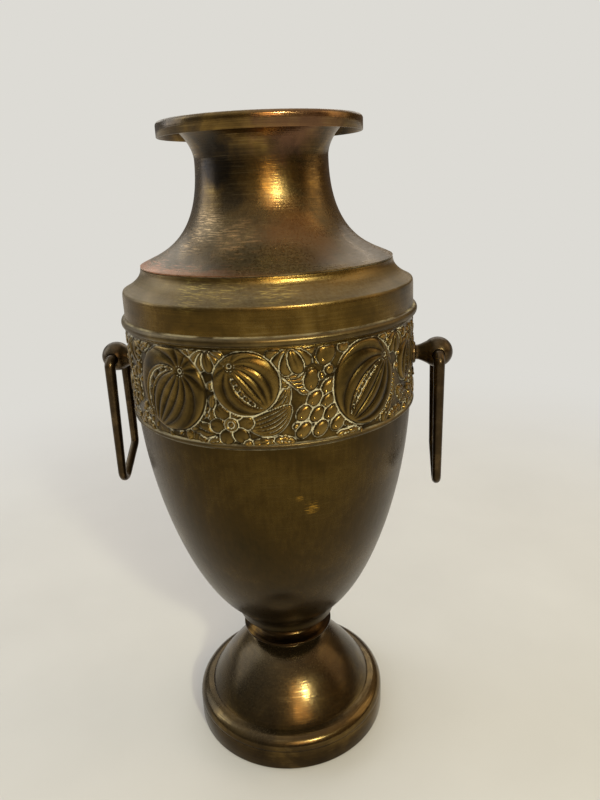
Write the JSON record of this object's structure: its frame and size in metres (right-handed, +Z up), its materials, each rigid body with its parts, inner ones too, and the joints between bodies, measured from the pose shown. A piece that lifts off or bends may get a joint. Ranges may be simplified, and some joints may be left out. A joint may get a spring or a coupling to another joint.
{
  "type": "urn vase",
  "caption": "Tall footed urn vase in aged brass with a flared neck, an embossed fruit band and two swinging bail handles.",
  "frame": {"origin": "centre of the base, on the plane the vase stands on", "axes": "+Z up along the vase's axis, handles on +X and -X, the side seen in the picture faces -Y"},
  "size_m": [0.1648, 0.132, 0.3],
  "materials": {
    "coppery_brass": "aged, brushed round, worn to copper",
    "olive_brass": "aged satin, olive cast",
    "brown_brass": "aged satin, brown",
    "embossed_brass": "aged satin, pale residue in the hollows",
    "dark_brass": "dark olive patina, satin",
    "foot_brass": "dark brown patina, polished",
    "dark_bronze": "dark brown patina, satin",
    "plain_brass": "bright drawn",
    "black_rubber": "matt black",
    "zinc_steel": "zinc plated"
  },
  "bodies": {
    "vase": {"neck": "coppery_brass", "shoulder": "olive_brass", "upper_bead": "brown_brass", "frieze_band": "embossed_brass", "lower_bead": "brown_brass", "bowl": "dark_brass", "stem_collar": "dark_brass", "foot_dome": "foot_brass", "base_ring": "foot_brass", "left_lug": "dark_bronze", "right_lug": "dark_bronze", "left_lug_collar": "dark_bronze", "right_lug_collar": "dark_bronze", "left_saddle_washer": "plain_brass", "right_saddle_washer": "plain_brass", "left_lug_nut": "plain_brass", "right_lug_nut": "plain_brass", "seal_washer": "black_rubber", "bolt_washer": "zinc_steel", "tie_bolt": "zinc_steel", "foot_washer": "zinc_steel", "foot_nut": "zinc_steel"},
    "left_bail": {"left_handle": "dark_bronze"},
    "right_bail": {"right_handle": "dark_bronze"}
  },
  "joints": [
    {"name": "left_bail_hinge", "type": "hinge", "parent": "vase", "child": "left_bail", "pos_m": [-0.0755, 0, 0.1993], "axis": [0, 1, 0], "range_deg": [-12, 190]},
    {"name": "right_bail_hinge", "type": "hinge", "parent": "vase", "child": "right_bail", "pos_m": [0.0755, 0, 0.1993], "axis": [0, -1, 0], "range_deg": [-12, 190]}
  ]
}
